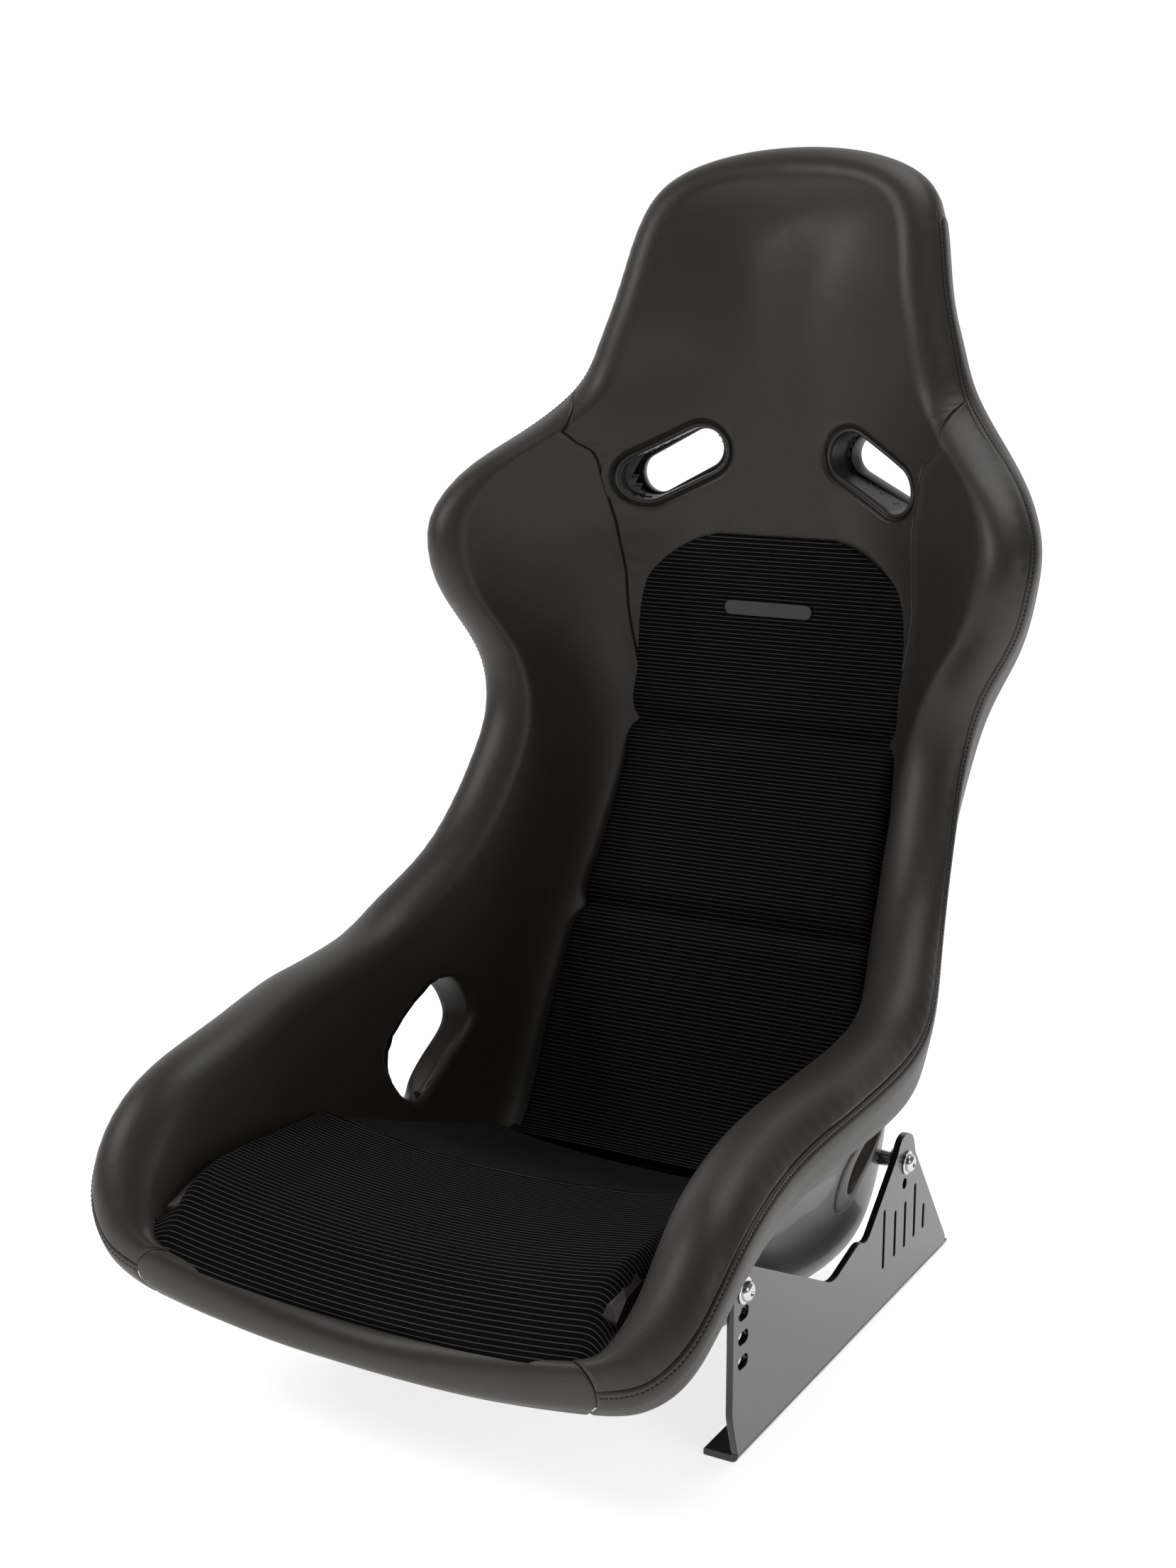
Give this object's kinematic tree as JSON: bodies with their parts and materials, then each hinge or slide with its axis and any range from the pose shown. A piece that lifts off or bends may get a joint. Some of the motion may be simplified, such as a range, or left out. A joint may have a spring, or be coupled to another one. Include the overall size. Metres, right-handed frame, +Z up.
{
  "type": "racing seat",
  "caption": "Fixed-back bucket racing seat with moulded shell, leather covered bolsters, fabric cushions, belt openings and L-shaped side mounts",
  "frame": {"origin": "middle of the four floor bolt holes, on the underside of the feet", "axes": "+Z up, the seat faces -Y, X is left-right and the seat is symmetric about X = 0"},
  "size_m": [0.533, 0.6936, 0.875],
  "materials": {
    "shell": "dark grey moulded laminate, satin",
    "foam": "moulded foam, matte",
    "leather": "fine-grained black leather, satin",
    "fabric": "black woven fabric with thin pale dotted stripes",
    "label": "small blank woven tab",
    "guide": "black moulded plastic, satin",
    "grip": "hook-and-loop tape",
    "mount": "black powder-coated steel plate",
    "steel": "zinc-plated steel, bright"
  },
  "bodies": {
    "root": {"shell": "shell", "foam_head": "foam", "foam_side_left": "foam", "foam_side_right": "foam", "foam_front": "foam", "head_cover": "leather", "side_cover_left": "leather", "side_cover_right": "leather", "front_roll_cover": "leather", "outer_strip_left": "leather", "outer_strip_right": "leather", "belt_guide_left": "guide", "belt_guide_right": "guide", "belt_guide_ring_left": "guide", "belt_guide_ring_right": "guide", "hip_liner_left": "leather", "hip_liner_right": "leather", "back_grip_strips": "grip", "seat_grip_strips": "grip", "side_mount_left": "mount", "side_mount_right": "mount", "mount_bolts": "steel", "mount_washers": "steel", "mount_spacers": "steel", "mount_inserts": "steel"},
    "seat_pad": {"seat_cushion": "fabric", "seat_gusset_left": "leather", "seat_gusset_right": "leather"},
    "back_pad": {"back_cushion": "fabric", "back_label": "label"}
  },
  "joints": [
    {"name": "seat_pad_pull", "type": "slide", "parent": "root", "child": "seat_pad", "axis": [0, -0.3, 0.9539], "range_m": [0, 0.25]},
    {"name": "back_pad_pull", "type": "slide", "parent": "root", "child": "back_pad", "axis": [0, -0.6, 0.8], "range_m": [0, 0.45]}
  ]
}
